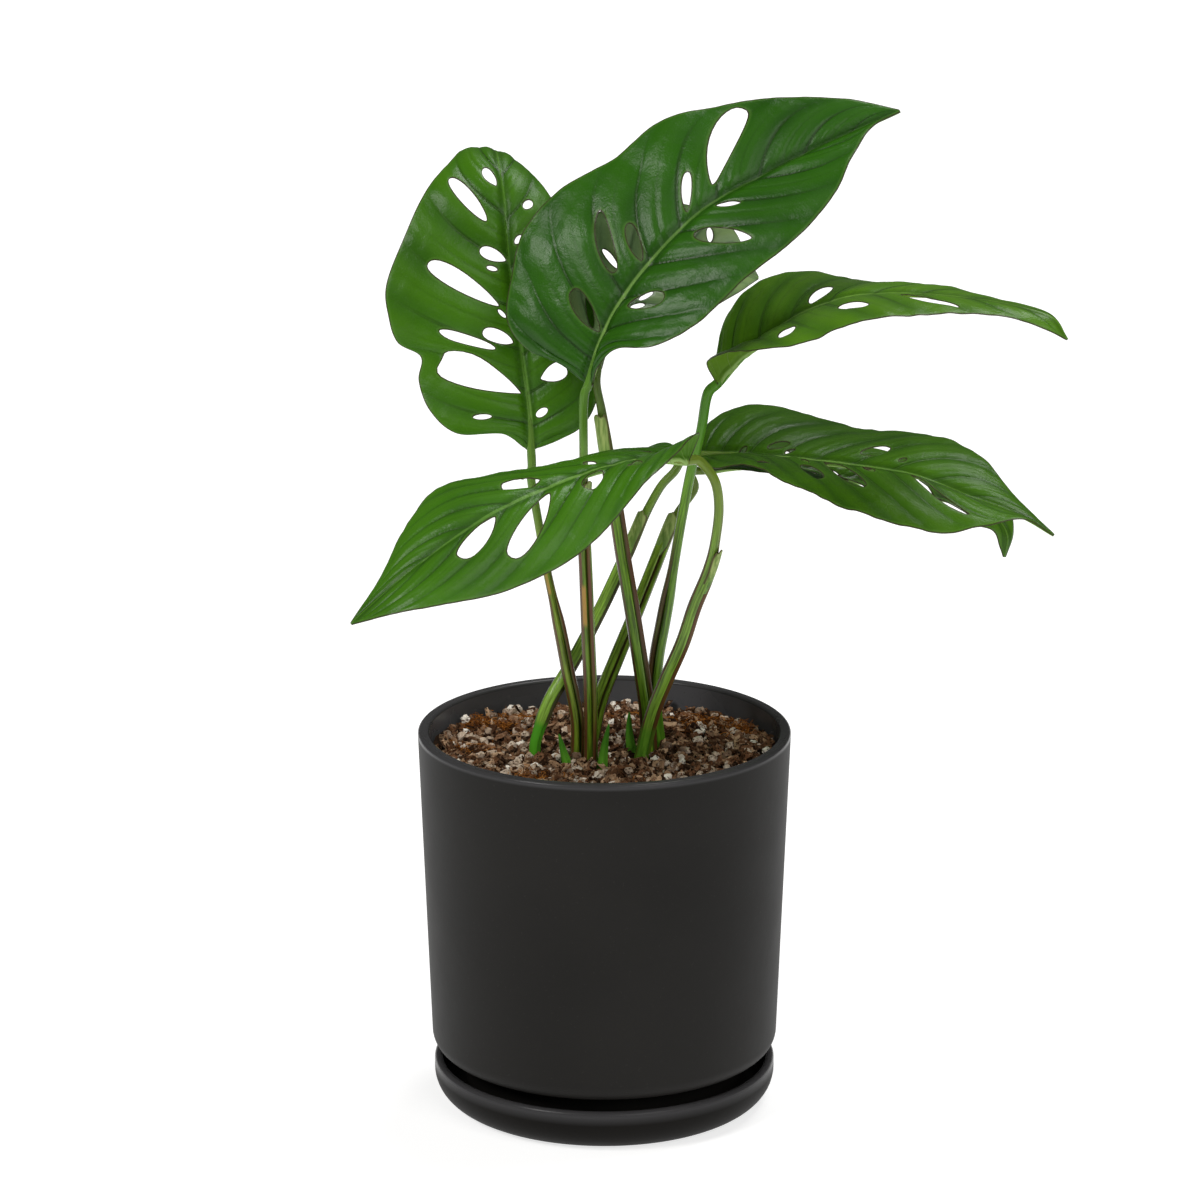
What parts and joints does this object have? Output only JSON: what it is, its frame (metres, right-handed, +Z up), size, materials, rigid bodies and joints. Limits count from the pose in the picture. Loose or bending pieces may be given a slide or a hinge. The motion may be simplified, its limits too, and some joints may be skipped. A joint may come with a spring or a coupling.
{
  "type": "potted monstera",
  "caption": "Monstera adansonii with glossy, perforated leaves on long arching stems, in a straight round ceramic pot filled with potting mix, on its matching saucer",
  "frame": {"origin": "middle of the flat underside of the saucer, where the plant stands on a table", "axes": "+Z up; -Y towards the viewer of the picture; +X to the viewer's right, the side that three blades reach"},
  "size_m": [0.3021, 0.2165, 0.4488],
  "materials": {
    "saucer": "matte black ceramic",
    "pot": "matte black ceramic",
    "soil": "dry bark and peat mix",
    "petiole": "smooth green stem",
    "leaf": "glossy dark green blade",
    "shoot": "fresh light green shoot"
  },
  "bodies": {
    "root": {"saucer": "saucer", "pot": "pot", "soil": "soil", "petiole_a": "petiole", "leaf_a": "leaf", "petiole_b": "petiole", "leaf_b": "leaf", "petiole_c": "petiole", "leaf_c": "leaf", "petiole_d": "petiole", "leaf_d": "leaf", "petiole_e": "petiole", "leaf_e": "leaf", "petiole_f": "petiole", "leaf_f": "leaf", "petiole_g": "petiole", "leaf_g": "leaf", "shoot_left": "shoot", "shoot_middle": "shoot", "shoot_back": "shoot"}
  },
  "joints": []
}
